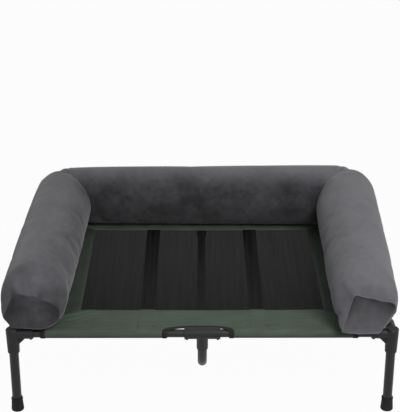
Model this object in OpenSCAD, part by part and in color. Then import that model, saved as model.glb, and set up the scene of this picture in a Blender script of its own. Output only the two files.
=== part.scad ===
// Raised dog cot: a tube frame with push-fit connectors, a stretched sling and a stuffed U-shaped bolster.
// Millimetres. The origin is on the floor under the middle of the cot, +X right, +Y back, +Z up.

/* [Frame] */
// Width over the corner connectors
frame_w = 914; // [760:1:1100]
// Depth over the corner connectors
frame_d = 686; // [580:1:860]
// Height of the rails' centre lines above the floor
rail_h = 207; // [190:1:260]
// Outside diameter of the rails
rail_od = 19; // [17:0.5:22]
// Outside diameter of the legs
leg_od = 22; // [20:0.5:25]
// Wall of every tube
tube_wall = 1.2; // [0.8:0.1:2]
// Clearance of a tube in its socket, all round
fit_gap = 0.2; // [0.1:0.05:0.3]

/* [Corner connectors] */
// Wall of the sockets
socket_wall = 2.8; // [2.2:0.1:4]
// Draft of the leg socket, from its mouth to its top
leg_socket_draft = 1.6; // [0.5:0.1:3]
// Reach of a rail socket from the leg's centre line
rail_socket_reach = 48; // [40:1:60]
// Reach of the leg socket below the rails' centre lines
leg_socket_reach = 50; // [42:1:70]
// Rise of the leg socket's cap above the rail sockets
cap_rise = 0.8; // [0.4:0.1:1.5]
// Thickness of the leg socket's cap
cap_t = 3; // [2:0.5:6]
// Chamfer on the socket's mouth and cap
socket_chamfer = 2.4; // [1:0.1:2.6]
// Width of the flat lip at the leg socket's mouth
mouth_lip = 1.4; // [0.8:0.1:2]
// Height of the gusset between a rail socket and the leg socket
gusset_h = 14; // [8:1:20]
// Thickness of the gusset
gusset_t = 7; // [4:0.5:10]

/* [Feet] */
// Height of a foot
foot_h = 34; // [28:1:45]
// Diameter of a foot at the floor
foot_d = 30; // [28:0.5:36]
// Wall of a foot's upper rim
foot_wall = 2; // [1.5:0.1:3]
// Rubber under the leg
foot_floor = 5; // [3:0.5:8]
// Height of the upper rim
foot_rim_h = 6; // [4:0.5:8]
// Depth of the groove under the upper rim
foot_groove = 1; // [0.5:0.1:1.4]
// Swell of the upper rim over the wall
foot_roll = 0.5; // [0.2:0.1:1]
// Radius of the rounded edge at the floor
foot_round = 3.5; // [2:0.5:5]

/* [Centre support] */
// Length of a tee along the rail
tee_len = 84; // [70:1:100]
// Wall of a tee round the rail
tee_wall = 4.2; // [3.4:0.1:5]
// Length of the raised collars at a tee's ends
tee_collar = 7; // [5:0.5:12]
// Depth of a tee's waist between its collars
tee_waist = 0.4; // [0.2:0.1:0.8]
// Thickness of the stop between the two rails in a tee
tee_stop = 6; // [3:0.5:10]
// Reach of a tee's branch from the rail's centre line
branch_reach = 50; // [42:1:60]
// Wall of a tee's branch round the support bar
branch_wall = 2.2; // [1.8:0.1:2.4]
// Angle of the branch below the horizontal
branch_angle = 70; // [60:1:80]
// Outside diameter of the centre support bar
bar_od = 22; // [19:0.5:22]
// Drop of the bar's level run below the rails
bar_drop = 115; // [105:1:140]
// Radius of the bar's bends on its centre line
bar_bend_r = 60; // [45:1:65]

/* [Screws] */
// Diameter of a screw's shank
screw_d = 3.6; // [3:0.1:4.5]
// Diameter of a screw's head
screw_head_d = 6.4; // [5.5:0.1:8]
// Height of a screw's head
screw_head_h = 2.2; // [1.5:0.1:3]
// Taper of a screw's head
screw_taper = 1; // [0.4:0.1:2]
// Distance of a screw from its socket's mouth
screw_inset = 6; // [5:0.5:10]
// Rise of the flat boss under a screw's head
boss_rise = 0.8; // [0.4:0.1:1.5]
// Flat land of the boss round a screw's head
boss_land = 1; // [0.5:0.1:2]
// Length of a screw inside the tube
screw_bite = 3; // [2:0.5:5]

/* [Sling] */
// Thickness of the border cloth
cloth_t = 1.2; // [0.8:0.1:2]
// Clearance of a sleeve round its rail
sleeve_gap = 0.3; // [0.2:0.05:0.6]
// Distance of the sleeve's seam from the rail's centre line
hem_w = 40; // [30:1:55]
// Width of the mesh between the borders
mesh_w = 582; // [480:1:640]
// Depth of the mesh between the borders
mesh_d = 460; // [360:1:500]
// Thickness of the mesh
mesh_t = 1; // [0.6:0.1:2]
// Width of the mesh's edge that is sewn under the borders
mesh_seam = 12; // [8:1:20]
// Thickness of that edge, which the seam presses thin
mesh_seam_t = 0.7; // [0.4:0.1:1]
// Gap between the borders' edges at a mitred seam
mitre_seam = 0.2; // [0.1:0.05:0.5]
// Radius of the corner notches round the legs
notch_r = 80; // [70:1:95]
// Width of the arched cut-out at the rail
arch_w = 146; // [116:1:180]
// Distance of the arch's crown inside the rail's centre line
arch_in = 16; // [15:0.5:24]
// Width of the binding tape
binding_w = 11; // [6:0.5:16]
// Thickness of the binding tape
binding_t = 0.9; // [0.5:0.1:1.2]
// Width of the webbing straps
strap_w = 35; // [20:1:50]
// Thickness of the webbing straps
strap_t = 1.4; // [1:0.1:2.5]
// Distance of the straps' centre lines from the middle
strap_x = 131; // [90:1:180]

/* [Hook-and-loop patches] */
// Width of a patch
patch_w = 40; // [25:1:50]
// Length of a patch
patch_l = 80; // [50:1:120]
// Thickness of a loop patch
patch_t = 1.3; // [1:0.1:2]

/* [Bolster] */
// Diameter of the stuffed tube
bolster_d = 156; // [120:1:180]
// How far the bolster stands out past the frame at each side
over_x = 8; // [0:1:20]
// How far the bolster stands out past the frame at the front and back
over_y = 23; // [0:1:40]
// How far its underside is pressed flat
bolster_flat = 6; // [2:0.5:10]
// Thickness of the cover with its wadding
cover_t = 2.5; // [1.5:0.1:4]
// Gap between the cover and the fibre cores
core_gap = 0.3; // [0.2:0.1:1]
// Gap between the bolster and what it rests on
seat_gap = 0.3; // [0.2:0.1:0.6]
// Bend radius of the tube's centre line at the back corners
corner_r = 26; // [14:1:40]
// Radius of the crease inside the back corners
crease_r = 6; // [3:0.5:10]
// How far the cover draws in at the mitred seams, inside the back corners
mitre_draw = 5; // [0:0.5:8]
// Extra radius that the stuffing gives the middle of each tube
swell = 2; // [0:0.5:4]
// How far the tube's radius draws in at the seam of an end panel
end_draw = 24; // [10:1:30]
// How far the middle of an end panel lies below the tube's
end_drop = 20; // [8:1:24]
// Length over which the tube draws in, as a dome
end_draw_l = 70; // [50:1:90]
// Crown of an end panel
end_crown = 5; // [3:0.5:12]

/* [Hidden] */
$fn = 48;

// Colours
plastic_black = [0.17, 0.17, 0.17];
tube_black = [0.20, 0.20, 0.20];
rubber_black = [0.14, 0.14, 0.14];
steel_grey = [0.45, 0.45, 0.46];
cloth_green = [0.31, 0.35, 0.31];
mesh_black = [0.16, 0.16, 0.16];
tape_black = [0.11, 0.11, 0.10];
velvet_grey = [0.38, 0.38, 0.40];
fibre_white = [0.93, 0.93, 0.91];

// Overlap of a cutting shape past the face that it cuts
cut = 1;

// Frame places
leg_bore_r = leg_od / 2 + fit_gap;
rail_bore_r = rail_od / 2 + fit_gap;
leg_socket_r = leg_bore_r + socket_wall;
cap_r = leg_socket_r + leg_socket_draft;
rail_socket_r = rail_bore_r + socket_wall;
leg_x = frame_w / 2 - cap_r;
leg_y = frame_d / 2 - cap_r;
cap_z = rail_h + rail_socket_r + cap_rise;
rail_stop = cap_r;
leg_top = cap_z - cap_t;

// Tee and support bar places
tee_r = rail_bore_r + tee_wall;
bar_bore_r = bar_od / 2 + fit_gap;
branch_r = bar_bore_r + branch_wall;
branch_stop = rail_bore_r + branch_wall;
bend_tangent = bar_bend_r * tan(branch_angle / 2);
bar_run_y = leg_y - bar_drop / tan(branch_angle) - bend_tangent;

// Sling places, with u inwards from the rail's centre line and v up from it
sleeve_in = rail_od / 2 + sleeve_gap;
sleeve_out = sleeve_in + cloth_t;
hem_angle = 2 * atan(sleeve_in / hem_w);
cloth_under = rail_h + sleeve_in;
deck_top = rail_h + sleeve_out;
mesh_under = cloth_under - mesh_seam_t;
// Reach of the cloth's cutting plans outside the rails
skirt = 3 * rail_od;
arc_steps = 18;

// Bolster places
bolster_r = bolster_d / 2;
arm_x = frame_w / 2 + over_x - bolster_r;
back_y = frame_d / 2 + over_y - bolster_r;
bolster_z = max(deck_top + 2 * patch_t, cap_z, rail_h + tee_r) + seat_gap;
axis_z = bolster_z + bolster_r - bolster_flat;
seam_y = -(frame_d / 2 + over_y) + end_crown + cover_t;
section_sides = 24;
straight_rings = 5;
corner_rings = 3;
dome_rings = 3;

// Sides of the cot: -1 is left or front, 1 is right or back
module at_corner(sx, sy)
    translate([sx * leg_x, sy * leg_y, 0])
        mirror([sx > 0 ? 1 : 0, 0, 0])
            mirror([0, sy > 0 ? 1 : 0, 0])
                children();

module at_side(sx) mirror([sx > 0 ? 1 : 0, 0, 0]) children();

module at_end(sy) mirror([0, sy > 0 ? 1 : 0, 0]) children();

// A shape built along +Z is laid along +X, or along +Y
module along_x() rotate([0, 90, 0]) children();

module along_y() rotate([-90, 0, 0]) children();

module tube(length, od)
    difference() {
        cylinder(h = length, d = od);
        translate([0, 0, -cut]) cylinder(h = length + 2 * cut, d = od - 2 * tube_wall);
    }

// Screw that stands at the origin, its axis on the tube's centre line and its head below the boss
module screw(seat_r, tube_od) {
    tip = tube_od / 2 - tube_wall - screw_bite;
    translate([0, 0, -seat_r]) cylinder(h = seat_r - tip, d = screw_d);
    translate([0, 0, -seat_r - screw_head_h])
        cylinder(h = screw_head_h, d1 = screw_head_d - screw_taper, d2 = screw_head_d);
}

module screw_hole(depth)
    translate([0, 0, -depth]) cylinder(h = depth, d = screw_d + 2 * fit_gap);

module screw_boss(seat_r) translate([0, 0, -seat_r]) cylinder(h = seat_r, d = screw_head_d + 2 * boss_land);

// Closed skins over rings of points, which turn anticlockwise seen along the path
// Two triangles for each side of the band between ring i and the next one
function band(i, n, turned) = [
    for (k = [0:n - 1])
        let (a = i * n + k, b = i * n + (k + 1) % n)
        each (turned ? [[a, b + n, b], [a, a + n, b + n]] : [[a, b, b + n], [a, b + n, a + n]])
];

function raised(faces, by) = [for (f = faces) [for (v = f) v + by]];

// Flat ring of triangles between two rings of points that start at a and b
function rim(a, b, n, turned) = [
    for (k = [0:n - 1])
        let (j = (k + 1) % n)
        each (turned
            ? [[a + k, b + j, b + k], [a + k, a + j, b + j]]
            : [[a + k, b + k, b + j], [a + k, b + j, a + j]])
];

module hollow_skin(outer, inner) {
    n = len(outer[0]);
    m = len(outer);
    polyhedron(
        points = concat([for (r = outer) each r], [for (r = inner) each r]),
        faces = concat(
            [for (i = [0:m - 2]) each band(i, n, false)],
            raised([for (i = [0:m - 2]) each band(i, n, true)], m * n),
            rim(0, m * n, n, false),
            rim((m - 1) * n, (2 * m - 1) * n, n, true)
        ),
        convexity = 8
    );
}

module solid_skin(rings) {
    n = len(rings[0]);
    m = len(rings);
    polyhedron(
        points = [for (r = rings) each r],
        faces = concat(
            [for (i = [0:m - 2]) each band(i, n, false)],
            [for (k = [1:n - 2]) [0, k + 1, k]],
            [for (k = [1:n - 2]) [(m - 1) * n, (m - 1) * n + k, (m - 1) * n + k + 1]]
        ),
        convexity = 8
    );
}

// Corner connector
// Moulded in one piece: a drafted leg socket with a chamfered mouth and cap, two rail sockets and two gussets
corner_boss_r = rail_socket_r + boss_rise;
corner_screw_at = rail_socket_reach - screw_inset;

module gusset() {
    foot_in = leg_socket_r - socket_wall / 2;
    rail_under = rail_h - rail_socket_r + socket_wall / 2;
    rotate([90, 0, 0])
        translate([0, 0, -gusset_t / 2])
            linear_extrude(gusset_t)
                polygon([
                    [foot_in, rail_under],
                    [leg_socket_r + gusset_h, rail_under],
                    [leg_socket_r + gusset_h, rail_h - rail_socket_r],
                    [leg_socket_r, rail_h - rail_socket_r - gusset_h],
                    [foot_in, rail_h - rail_socket_r - gusset_h]
                ]);
}

module corner_connector(sx, sy) {
    mouth_z = rail_h - leg_socket_reach;
    socket_h = cap_z - mouth_z;
    color(plastic_black)
        at_corner(sx, sy)
            difference() {
                union() {
                    translate([0, 0, mouth_z])
                        rotate_extrude()
                            polygon([
                                [0, 0],
                                [leg_bore_r + mouth_lip, 0],
                                [leg_socket_r, socket_chamfer],
                                [cap_r, socket_h - socket_chamfer],
                                [cap_r - socket_chamfer, socket_h],
                                [0, socket_h]
                            ]);
                    translate([0, 0, rail_h]) {
                        along_x() cylinder(h = rail_socket_reach, r = rail_socket_r);
                        along_y() cylinder(h = rail_socket_reach, r = rail_socket_r);
                        translate([corner_screw_at, 0, 0]) screw_boss(corner_boss_r);
                        translate([0, corner_screw_at, 0]) screw_boss(corner_boss_r);
                    }
                    gusset();
                    mirror([1, -1, 0]) gusset();
                }
                translate([0, 0, mouth_z - cut]) cylinder(h = leg_top - mouth_z + cut, r = leg_bore_r);
                translate([0, 0, rail_h]) {
                    translate([rail_stop, 0, 0])
                        along_x() cylinder(h = rail_socket_reach - rail_stop + cut, r = rail_bore_r);
                    translate([0, rail_stop, 0])
                        along_y() cylinder(h = rail_socket_reach - rail_stop + cut, r = rail_bore_r);
                    translate([corner_screw_at, 0, 0]) screw_hole(corner_boss_r + cut);
                    translate([0, corner_screw_at, 0]) screw_hole(corner_boss_r + cut);
                }
            }
}

// Leg
module leg(sx, sy)
    color(tube_black)
        at_corner(sx, sy)
            translate([0, 0, foot_floor]) tube(leg_top - foot_floor, leg_od);

// Foot
// A rubber cup that flares to the floor, with a rolled rim over a groove
module foot(sx, sy) {
    rim_r = leg_bore_r + foot_wall;
    color(rubber_black)
        at_corner(sx, sy)
            rotate_extrude()
                difference() {
                    polygon(concat(
                        [[0, 0]],
                        [for (i = [0:4])
                            let (a = -90 + 90 * i / 4)
                            [foot_d / 2 - foot_round + foot_round * cos(a), foot_round + foot_round * sin(a)]],
                        [
                            [rim_r, foot_h - foot_rim_h - foot_groove],
                            [rim_r - foot_groove, foot_h - foot_rim_h],
                            [rim_r + foot_roll, foot_h - foot_rim_h + foot_groove],
                            [rim_r + foot_roll, foot_h - foot_groove],
                            [rim_r, foot_h],
                            [0, foot_h]
                        ]
                    ));
                    translate([0, foot_floor]) square([leg_bore_r, foot_h]);
                }
}

// Rails
// Each long rail is two tubes that meet in a tee, and each side rail is one tube
module half_rail(sx, sy) {
    inner = tee_stop / 2 + fit_gap;
    length = leg_x - rail_stop - fit_gap - inner;
    color(tube_black)
        at_side(sx)
            translate([-inner, sy * leg_y, rail_h])
                difference() {
                    mirror([1, 0, 0]) along_x() tube(length, rail_od);
                    translate([inner - tee_len / 2 + screw_inset, 0, 0]) screw_hole(rail_od);
                    translate([inner - leg_x + corner_screw_at, 0, 0]) screw_hole(rail_od);
                }
}

module side_rail(sx) {
    length = 2 * (leg_y - rail_stop - fit_gap);
    color(tube_black)
        translate([sx * leg_x, 0, rail_h])
            difference() {
                translate([0, -length / 2, 0]) along_y() tube(length, rail_od);
                for (sy = [-1, 1]) translate([0, sy * (leg_y - corner_screw_at), 0]) screw_hole(rail_od);
            }
}

// Tee
// A sleeve with collars at its ends and a branch that carries the support bar
tee_boss_r = tee_r + boss_rise;

module branch_frame() rotate([-90 - branch_angle, 0, 0]) children();

module tee(sy)
    color(plastic_black)
        at_end(sy)
            translate([0, -leg_y, rail_h])
                difference() {
                    union() {
                        translate([-tee_len / 2, 0, 0])
                            along_x()
                                rotate_extrude()
                                    polygon([
                                        [0, 0],
                                        [tee_r, 0],
                                        [tee_r, tee_collar],
                                        [tee_r - tee_waist, tee_collar + tee_waist],
                                        [tee_r - tee_waist, tee_len - tee_collar - tee_waist],
                                        [tee_r, tee_len - tee_collar],
                                        [tee_r, tee_len],
                                        [0, tee_len]
                                    ]);
                        branch_frame() cylinder(h = branch_reach, r = branch_r);
                        for (s = [-1, 1])
                            translate([s * (tee_len / 2 - screw_inset), 0, 0]) screw_boss(tee_boss_r);
                    }
                    for (s = [-1, 1]) {
                        mirror([s > 0 ? 1 : 0, 0, 0])
                            translate([-tee_len / 2 - cut, 0, 0])
                                along_x() cylinder(h = tee_len / 2 - tee_stop / 2 + cut, r = rail_bore_r);
                        translate([s * (tee_len / 2 - screw_inset), 0, 0]) screw_hole(tee_boss_r + cut);
                    }
                    branch_frame()
                        translate([0, 0, branch_stop])
                            cylinder(h = branch_reach - branch_stop + cut, r = bar_bore_r);
                }

// Centre support bar
// One tube, bent twice, that drops from the front tee, runs back under the sling and rises to the back tee.
// A station is [y, z, heading], with the heading as the angle above level in the plane of the bar.
bar_sides = 24;
bend_rings = 8;

function bar_front() =
    let (start = branch_stop + fit_gap, centre_z = rail_h - bar_drop + bar_bend_r)
    concat(
        [[-leg_y + start * cos(branch_angle), rail_h - start * sin(branch_angle), -branch_angle]],
        [for (i = [0:bend_rings])
            let (h = -branch_angle * (1 - i / bend_rings))
            [-bar_run_y + bar_bend_r * sin(h), centre_z - bar_bend_r * cos(h), h]]
    );

function bar_stations() =
    let (front = bar_front())
    concat(front, [for (i = [len(front) - 1:-1:0]) [-front[i][0], front[i][1], -front[i][2]]]);

function bar_rings(r) = [
    for (s = bar_stations())
        [for (k = [0:bar_sides - 1])
            let (a = 360 * k / bar_sides)
            [r * cos(a), s[0] - r * sin(a) * sin(s[2]), s[1] + r * sin(a) * cos(s[2])]]
];

module centre_support_bar()
    color(tube_black) hollow_skin(bar_rings(bar_od / 2), bar_rings(bar_od / 2 - tube_wall));

// Screws
module corner_screws()
    color(steel_grey)
        for (sx = [-1, 1], sy = [-1, 1])
            at_corner(sx, sy)
                translate([0, 0, rail_h]) {
                    translate([corner_screw_at, 0, 0]) screw(corner_boss_r, rail_od);
                    translate([0, corner_screw_at, 0]) screw(corner_boss_r, rail_od);
                }

module tee_screws()
    color(steel_grey)
        for (sx = [-1, 1], sy = [-1, 1])
            translate([sx * (tee_len / 2 - screw_inset), sy * leg_y, rail_h]) screw(tee_boss_r, rail_od);

// Sling borders
// The cloth leaves the top of the rail level, wraps round it and is sewn to itself at the hem
function sleeve_arc(r) = [
    for (i = [0:arc_steps])
        let (a = 90 + (180 + hem_angle) * i / arc_steps)
        [r * cos(a), r * sin(a)]
];

function hem_end(r) = (r + sleeve_in * cos(hem_angle)) / sin(hem_angle);

module sleeve_outline(reach, r)
    polygon(concat([[reach, r]], sleeve_arc(r), [[hem_end(r), sleeve_in], [reach, sleeve_in]]));

module border_profile(reach)
    difference() {
        sleeve_outline(reach, sleeve_out);
        polygon(concat([[hem_w, sleeve_in]], sleeve_arc(sleeve_in)));
    }

module tape_profile(reach)
    difference() {
        sleeve_outline(reach, sleeve_out + binding_t);
        sleeve_outline(reach + cut, sleeve_out);
    }

// A profile is carried along the front rail, or along the left rail
module along_front()
    translate([0, -leg_y, rail_h])
        rotate([90, 0, 90]) linear_extrude(2 * leg_x, center = true) children();

module along_left()
    translate([-leg_x, 0, rail_h])
        rotate([90, 0, 0]) linear_extrude(2 * leg_y, center = true) children();

// Plan of a border, up to the mitred seams at the mesh's corners
module border_plan(mesh_half, mesh_out, leg_half, leg_out)
    polygon([
        [-mesh_half + mitre_seam, -mesh_out],
        [mesh_half - mitre_seam, -mesh_out],
        [leg_half - mitre_seam, -leg_out],
        [leg_half - mitre_seam, -leg_out - skirt],
        [-leg_half + mitre_seam, -leg_out - skirt],
        [-leg_half + mitre_seam, -leg_out]
    ]);

module front_plan() linear_extrude(2 * rail_h) border_plan(mesh_w / 2, mesh_d / 2, leg_x, leg_y);

module left_plan()
    linear_extrude(2 * rail_h) rotate(-90) border_plan(mesh_d / 2, mesh_w / 2, leg_y, leg_x);

module notch(r)
    for (sx = [-1, 1], sy = [-1, 1])
        translate([sx * leg_x, sy * leg_y, 0]) cylinder(h = 2 * rail_h, r = r);

// Arched cut-out over the tee, a superellipse in plan, which also ends the sleeve below the cloth
arch_power = 2.5;
arch_points = 24;

module arch_cut(grow) {
    half = arch_w / 2 + grow;
    depth = sleeve_out + arch_in + grow;
    translate([0, -leg_y - sleeve_out, 0])
        linear_extrude(2 * rail_h)
            polygon(concat(
                [[half, -skirt]],
                [for (i = [0:arch_points])
                    let (a = 180 * i / arch_points)
                    [
                        half * sign(cos(a)) * pow(abs(cos(a)), 2 / arch_power),
                        depth * pow(sin(a), 2 / arch_power)
                    ]],
                [[-half, -skirt]]
            ));
    translate([-half, -leg_y - skirt, 0]) cube([2 * half, skirt + 2 * hem_w, cloth_under]);
}

module front_border_panel()
    difference() {
        intersection() {
            along_front() border_profile(leg_y - mesh_d / 2);
            front_plan();
        }
        notch(notch_r);
        arch_cut(0);
    }

module left_border_panel()
    difference() {
        intersection() {
            along_left() border_profile(leg_x - mesh_w / 2);
            left_plan();
        }
        notch(notch_r);
    }

module long_border(sy) color(cloth_green) at_end(sy) front_border_panel();

module side_border(sx) color(cloth_green) at_side(sx) left_border_panel();

// Bindings
// Tape sewn over the cloth's cut edges, round the arches and round the corner notches
module arch_binding(sy)
    color(tape_black)
        at_end(sy)
            difference() {
                intersection() {
                    along_front() tape_profile(leg_y - mesh_d / 2);
                    arch_cut(binding_w);
                }
                arch_cut(0);
            }

module corner_binding(sx, sy)
    color(tape_black)
        at_side(sx)
            at_end(sy)
                difference() {
                    intersection() {
                        union() {
                            intersection() {
                                along_front() tape_profile(leg_y - mesh_d / 2);
                                front_plan();
                            }
                            intersection() {
                                along_left() tape_profile(leg_x - mesh_w / 2);
                                left_plan();
                            }
                        }
                        translate([-leg_x, -leg_y, 0]) cylinder(h = 2 * rail_h, r = notch_r + binding_w);
                    }
                    notch(notch_r);
                }

// Mesh and the webbing straps under it
module mesh_slab(margin, thickness)
    translate([-mesh_w / 2 - margin, -mesh_d / 2 - margin, mesh_under])
        cube([mesh_w + 2 * margin, mesh_d + 2 * margin, thickness]);

module mesh_panel()
    color(mesh_black) {
        mesh_slab(mesh_seam, mesh_seam_t);
        mesh_slab(0, mesh_t);
    }

module strap(sx) {
    half_l = leg_y - hem_end(sleeve_out) - cut;
    color(tape_black)
        translate([sx * strap_x - strap_w / 2, -half_l, mesh_under - strap_t])
            cube([strap_w, 2 * half_l, strap_t]);
}

// Hook-and-loop patches, one pair under each arm of the bolster
module loop_patch(sx)
    color(tape_black)
        translate([sx * arm_x - patch_w / 2, -patch_l / 2, deck_top]) cube([patch_w, patch_l, patch_t]);

module hook_patch(sx) {
    under = deck_top + patch_t + seat_gap;
    color(tape_black)
        translate([sx * arm_x - patch_w / 2, -patch_l / 2, under])
            cube([patch_w, patch_l, bolster_z - under]);
}

// Bolster
// A round tube, pressed flat below, follows a U in plan. A strand of the tube that lies d inside the centre
// line turns the back corner on a radius that shrinks with d, so the corner is round outside and creased inside.
function turn_r(d) = max(corner_r - d, crease_r);

function turn_in(d) = d + turn_r(d);

// Section point k of a ring, as [d, z], for a tube of radius r whose skin lies depth e inside the cover and
// whose middle lies drop below the bolster's axis
function section(k, r, e, drop = 0) =
    let (a = 360 * k / section_sides)
    [(r - e) * cos(a), max(axis_z - drop + (r - e) * sin(a), bolster_z + e)];

function swollen(t) = bolster_r - swell + swell * sin(180 * t);

// Ring at y on the straight left arm: t goes from 0 at the end panel to 1 at the corner
function arm_ring(t, r, e, back, drop = 0) = [
    for (k = [0:section_sides - 1])
        let (s = section(k, r, e, drop))
        [-arm_x + s[0], seam_y + (back - turn_in(s[0]) - seam_y) * t, s[1]]
];

// Ring in the left back corner, turned by angle f from the arm's direction. The seam at 45 degrees draws it in,
// most on the inside of the corner and not at all on the outside.
function corner_ring(f, e, back) =
    let (draw = mitre_draw * pow(1 - abs(f - 45) / 45, 2))
    [for (k = [0:section_sides - 1])
        let (
            inside = (1 + cos(360 * k / section_sides)) / 2,
            s = section(k, bolster_r - swell - draw * inside, e),
            q = turn_r(s[0]),
            c = turn_in(s[0])
        )
        [-arm_x + c - q * cos(f), back - c + q * sin(f), s[1]]];

// Ring on the straight back, t from 0 at the left corner to 1 at the right one
function back_ring(t, r, e) = [
    for (k = [0:section_sides - 1])
        let (s = section(k, r, e), half = arm_x - turn_in(s[0]))
        [-half + 2 * half * t, back_y - s[0], s[1]]
];

function flip_x(ring) = [for (p = ring) [-p[0], p[1], p[2]]];

// The arm's front end is a dome that slopes down to the end panel, most on top and hardly below. The arm stops
// short of the back's mitre plane by the same gap as the cores have.
function arm_rings(e) =
    let (back = back_y - core_gap, length = back - corner_r - seam_y)
    concat(
        [for (i = [0:dome_rings - 1])
            let (w = i / dome_rings, drawn = pow(1 - w, 2))
            arm_ring(
                w * end_draw_l / length, bolster_r - swell - end_draw * drawn, e, back, end_drop * drawn
            )],
        [for (i = [0:straight_rings - 1])
            let (t = end_draw_l / length + (1 - end_draw_l / length) * i / straight_rings)
            arm_ring(t, swollen(t), e, back)],
        [for (i = [0:corner_rings]) corner_ring(45 * i / corner_rings, e, back)]
    );

function back_rings(e) =
    let (left = [for (i = [0:corner_rings - 1]) corner_ring(45 + 45 * i / corner_rings, e, back_y)])
    concat(
        left,
        [for (i = [0:straight_rings]) back_ring(i / straight_rings, swollen(i / straight_rings), e)],
        [for (i = [corner_rings - 1:-1:0]) flip_x(left[i])]
    );

module bolster_arm_cover(sx) color(velvet_grey) at_side(sx) hollow_skin(arm_rings(0), arm_rings(cover_t));

module bolster_back_cover() color(velvet_grey) hollow_skin(back_rings(0), back_rings(cover_t));

module bolster_arm_core(sx) color(fibre_white) at_side(sx) solid_skin(arm_rings(cover_t + core_gap));

module bolster_back_core() color(fibre_white) solid_skin(back_rings(cover_t + core_gap));

// End panel: a crowned disc, sewn to the front edge of the arm's cover
function panel_ring(share, lift) = [
    for (k = [0:section_sides - 1])
        let (s = section(k, bolster_r - swell - end_draw, 0, end_drop), mid_z = axis_z - end_drop)
        [
            -arm_x + s[0] * share,
            seam_y - end_crown * (1 - share * share) - lift,
            mid_z + (s[1] - mid_z) * share
        ]
];

panel_shares = [0.08, 0.4, 0.7, 0.9, 1];

module bolster_end(sx) {
    front = [for (s = panel_shares) panel_ring(s, cover_t)];
    rear = [for (i = [len(panel_shares) - 1:-1:0]) panel_ring(panel_shares[i], 0)];
    color(velvet_grey) at_side(sx) solid_skin(concat(front, rear));
}

corner_connector(-1, -1);  // corner_front_left
corner_connector(1, -1);  // corner_front_right
corner_connector(-1, 1);  // corner_back_left
corner_connector(1, 1);  // corner_back_right
leg(-1, -1);  // leg_front_left
leg(1, -1);  // leg_front_right
leg(-1, 1);  // leg_back_left
leg(1, 1);  // leg_back_right
foot(-1, -1);  // foot_front_left
foot(1, -1);  // foot_front_right
foot(-1, 1);  // foot_back_left
foot(1, 1);  // foot_back_right
half_rail(-1, -1);  // front_rail_left
half_rail(1, -1);  // front_rail_right
half_rail(-1, 1);  // back_rail_left
half_rail(1, 1);  // back_rail_right
side_rail(-1);  // side_rail_left
side_rail(1);  // side_rail_right
tee(-1);  // front_tee
tee(1);  // back_tee
centre_support_bar();
corner_screws();
tee_screws();
mesh_panel();
long_border(-1);  // front_border
long_border(1);  // back_border
side_border(-1);  // left_border
side_border(1);  // right_border
arch_binding(-1);  // front_arch_binding
arch_binding(1);  // back_arch_binding
corner_binding(-1, -1);  // binding_front_left
corner_binding(1, -1);  // binding_front_right
corner_binding(-1, 1);  // binding_back_left
corner_binding(1, 1);  // binding_back_right
strap(-1);  // strap_left
strap(1);  // strap_right
loop_patch(-1);  // loop_patch_left
loop_patch(1);  // loop_patch_right
bolster_arm_cover(-1);  // bolster_cover_left
bolster_back_cover();  // bolster_cover_back
bolster_arm_cover(1);  // bolster_cover_right
bolster_end(-1);  // bolster_end_left
bolster_end(1);  // bolster_end_right
bolster_arm_core(-1);  // bolster_core_left
bolster_back_core();  // bolster_core_back
bolster_arm_core(1);  // bolster_core_right
hook_patch(-1);  // hook_patch_left
hook_patch(1);  // hook_patch_right
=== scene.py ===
"""Raised dog cot: a black tube frame, a stretched sling with a mesh centre, and a velvet bolster round
three sides."""
import math

import bpy
import numpy as np
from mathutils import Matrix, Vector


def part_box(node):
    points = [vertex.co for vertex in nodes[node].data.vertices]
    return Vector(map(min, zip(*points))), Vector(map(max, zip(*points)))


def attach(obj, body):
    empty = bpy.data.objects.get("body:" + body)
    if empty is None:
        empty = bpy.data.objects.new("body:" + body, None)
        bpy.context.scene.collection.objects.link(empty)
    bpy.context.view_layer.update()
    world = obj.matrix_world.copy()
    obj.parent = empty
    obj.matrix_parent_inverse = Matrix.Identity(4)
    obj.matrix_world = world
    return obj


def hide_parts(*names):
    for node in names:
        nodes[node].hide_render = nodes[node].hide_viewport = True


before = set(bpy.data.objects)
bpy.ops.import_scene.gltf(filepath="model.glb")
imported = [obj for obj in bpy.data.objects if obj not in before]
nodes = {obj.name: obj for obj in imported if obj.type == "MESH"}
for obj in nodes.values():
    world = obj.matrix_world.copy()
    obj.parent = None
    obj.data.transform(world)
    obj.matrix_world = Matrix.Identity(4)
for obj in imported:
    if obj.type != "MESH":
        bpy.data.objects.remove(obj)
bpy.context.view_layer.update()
MM = 0.001


# Frame tubes
# The legs, the rails and the bent support bar are steel tube, cut to length, bent and powder coated black.
# The powder melts to a satin skin with a faint orange peel, which frays the long highlight on each tube.
def linear(hex_colour):
    """An sRGB hex value as linear red, green and blue, with an alpha of 1."""
    srgb = np.array([int(hex_colour[i:i + 2], 16) for i in (1, 3, 5)]) / 255
    rgb = np.where(srgb <= 0.04045, srgb / 12.92, ((srgb + 0.055) / 1.055) ** 2.4)
    return (*rgb.tolist(), 1.0)


def add(tree, kind, inputs=None, **settings):
    """Adds one shader node with its settings. An input is a value, or the socket that feeds it."""
    made = tree.nodes.new("ShaderNode" + kind)
    for name, value in settings.items():
        setattr(made, name, value)
    for name, value in (inputs or {}).items():
        if isinstance(value, bpy.types.NodeSocket):
            tree.links.new(value, made.inputs[name])
        else:
            made.inputs[name].default_value = value
    return made


def new_material(name):
    """A material whose node tree is empty, and that tree."""
    material = bpy.data.materials.new(name)
    material.use_nodes = True
    material.node_tree.nodes.clear()
    return material, material.node_tree


def surface(tree, **sockets):
    """Adds a material's surface shader and its output. A socket's name has _ for each space, and it gets a
    value, or the socket that feeds it."""
    inputs = {name.replace("_", " "): value for name, value in sockets.items()}
    shader = add(tree, "BsdfPrincipled", inputs)
    add(tree, "OutputMaterial", {"Surface": shader.outputs["BSDF"]})


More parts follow.
